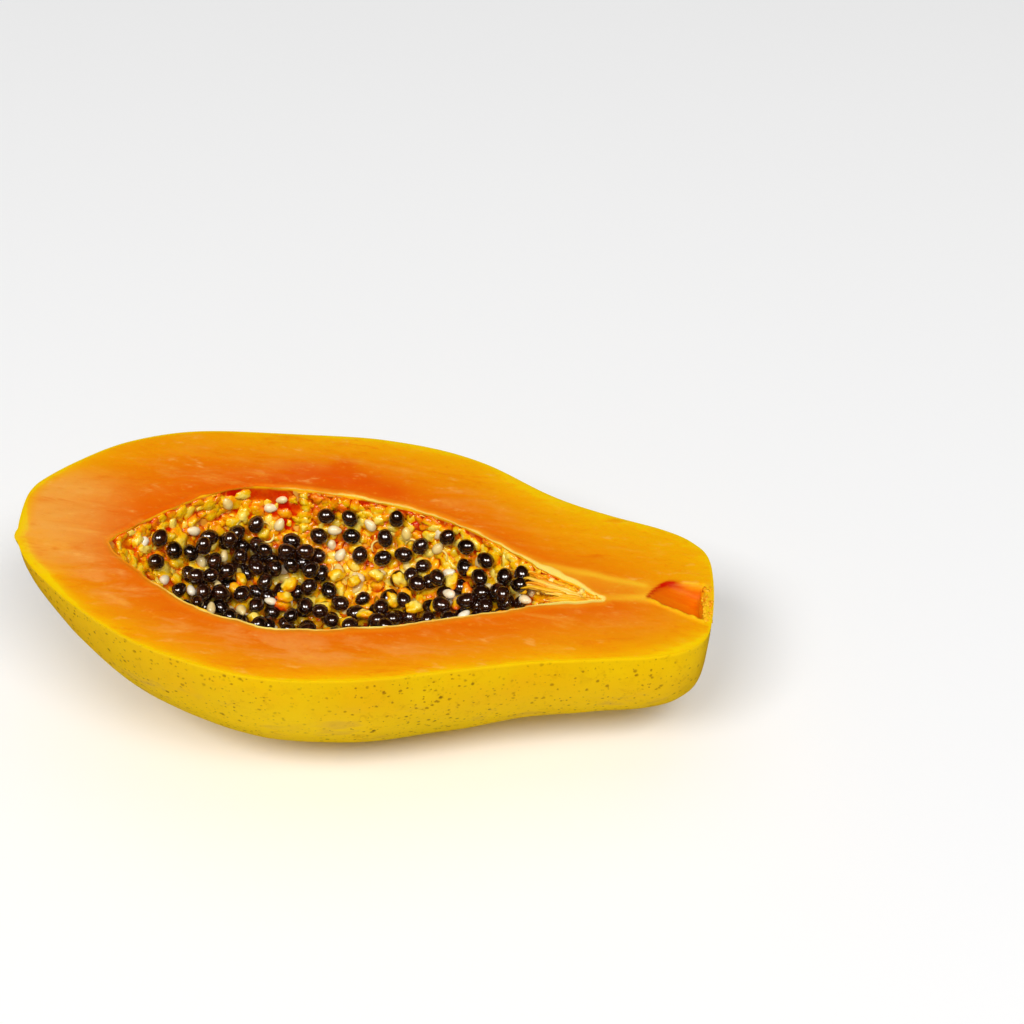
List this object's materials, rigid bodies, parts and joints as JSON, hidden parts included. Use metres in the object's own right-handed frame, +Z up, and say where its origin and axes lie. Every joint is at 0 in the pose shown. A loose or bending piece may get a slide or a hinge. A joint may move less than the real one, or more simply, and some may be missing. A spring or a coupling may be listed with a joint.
{
  "type": "halved papaya",
  "caption": "Half of a ripe papaya, cut lengthwise, resting on its skin with the cut face up and the seeds still in the hollow.",
  "frame": {"origin": "middle of the flat spot on the skin that the half rests on", "axes": "+X along the fruit from the blossom tip to the stem end, +Y to the far side, +Z up out of the cut face; the cut face dips 4.5 degrees towards the stem end"},
  "size_m": [0.1987, 0.1078, 0.0623],
  "materials": {
    "ripe_fruit": "damp orange flesh inside a thin satin yellow skin",
    "dark_seed": "wet dark brown seed coat",
    "pale_seed": "wet cream coat of an unripe seed"
  },
  "bodies": {
    "root": {"dark_seed_01": "dark_seed", "dark_seed_02": "dark_seed", "dark_seed_03": "dark_seed", "dark_seed_04": "dark_seed", "dark_seed_05": "dark_seed", "dark_seed_06": "dark_seed", "dark_seed_07": "dark_seed", "dark_seed_08": "dark_seed", "dark_seed_09": "dark_seed", "dark_seed_10": "dark_seed", "dark_seed_11": "dark_seed", "dark_seed_12": "dark_seed", "dark_seed_13": "dark_seed", "dark_seed_14": "dark_seed", "dark_seed_15": "dark_seed", "dark_seed_16": "dark_seed", "dark_seed_17": "dark_seed", "dark_seed_18": "dark_seed", "dark_seed_19": "dark_seed", "dark_seed_20": "dark_seed", "dark_seed_21": "dark_seed", "dark_seed_22": "dark_seed", "dark_seed_23": "dark_seed", "dark_seed_24": "dark_seed", "dark_seed_25": "dark_seed", "dark_seed_26": "dark_seed", "dark_seed_27": "dark_seed", "dark_seed_28": "dark_seed", "dark_seed_29": "dark_seed", "dark_seed_30": "dark_seed", "dark_seed_31": "dark_seed", "dark_seed_32": "dark_seed", "dark_seed_33": "dark_seed", "dark_seed_34": "dark_seed", "dark_seed_35": "dark_seed", "dark_seed_36": "dark_seed", "dark_seed_37": "dark_seed", "dark_seed_38": "dark_seed", "dark_seed_39": "dark_seed", "dark_seed_40": "dark_seed", "dark_seed_41": "dark_seed", "dark_seed_42": "dark_seed", "dark_seed_43": "dark_seed", "pale_seed_01": "pale_seed", "pale_seed_02": "pale_seed", "pale_seed_03": "pale_seed", "pale_seed_04": "pale_seed", "pale_seed_05": "pale_seed", "pale_seed_06": "pale_seed", "pale_seed_07": "pale_seed", "pale_seed_08": "pale_seed", "pale_seed_09": "pale_seed", "pale_seed_10": "pale_seed", "pale_seed_11": "pale_seed", "pale_seed_12": "pale_seed", "pale_seed_13": "pale_seed", "pale_seed_14": "pale_seed", "pale_seed_15": "pale_seed", "pale_seed_16": "pale_seed", "papaya_half": "ripe_fruit"}
  },
  "joints": []
}
